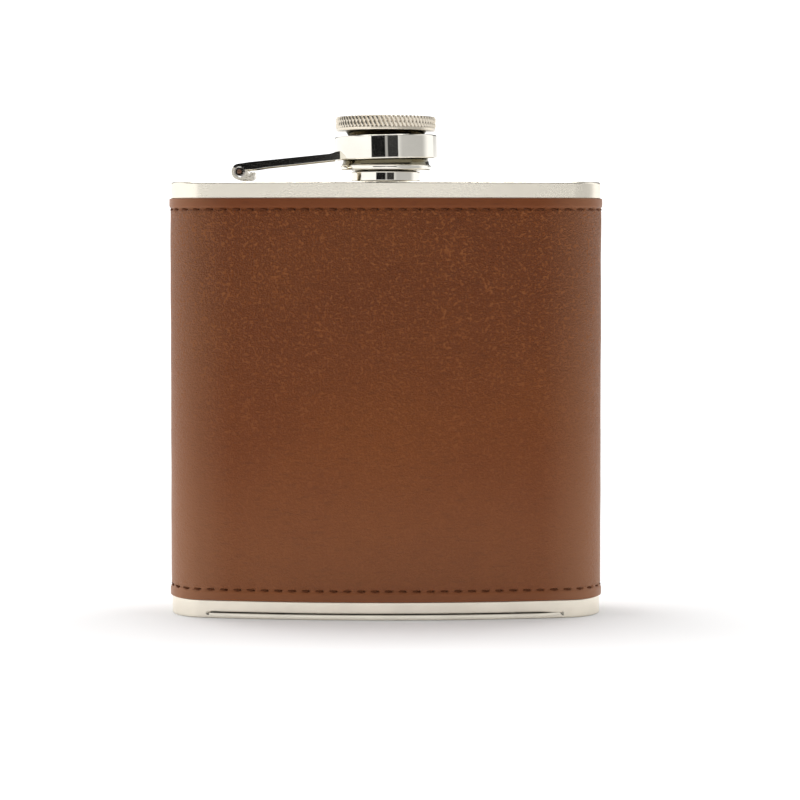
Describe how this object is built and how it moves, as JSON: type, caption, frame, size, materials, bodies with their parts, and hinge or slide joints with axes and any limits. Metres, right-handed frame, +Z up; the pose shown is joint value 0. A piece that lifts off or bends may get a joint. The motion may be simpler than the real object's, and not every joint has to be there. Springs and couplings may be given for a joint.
{
  "type": "hip flask",
  "caption": "Curved steel pocket flask in a stitched leather wrap, with a knurled screw cap held by a hinged arm, for carrying a small amount of drink.",
  "frame": {"origin": "middle of the base, on the surface that the flask stands on", "axes": "+Z up along the neck and cap, +X to the right with the arm's hinge on the -X side, -Y out of the bowed front"},
  "size_m": [0.095, 0.0234, 0.1085],
  "materials": {
    "body_steel": "satin, warm light grey",
    "polished_steel": "polished",
    "knurled_steel": "diamond knurled, satin",
    "leather": "fine pebble grain, semi-matt, mid brown",
    "thread": "waxed brown thread",
    "seal": "smooth, off white"
  },
  "bodies": {
    "flask": {"body_sleeve": "body_steel", "top_plate": "body_steel", "base_rim": "body_steel", "base_plate": "body_steel", "threaded_neck": "polished_steel", "hinge_bracket": "polished_steel", "leather_wrap": "leather", "top_stitching": "thread", "bottom_stitching": "thread", "back_seam_left": "thread", "back_seam_right": "thread"},
    "arm": {"swing_arm": "polished_steel", "hinge_pin": "polished_steel", "collar_ring": "polished_steel"},
    "cap": {"knurled_knob": "knurled_steel", "cap_shell": "polished_steel", "cap_seal": "seal"}
  },
  "joints": [
    {"name": "arm_swing", "type": "hinge", "parent": "flask", "child": "arm", "pos_m": [-0.03165, -0.0005, 0.09658], "axis": [0, -1, 0], "range_deg": [0, 170]},
    {"name": "cap_spin", "type": "hinge", "parent": "arm", "child": "cap", "pos_m": [0, -0.0005, 0.1], "axis": [0, 0, 1], "continuous": true}
  ]
}
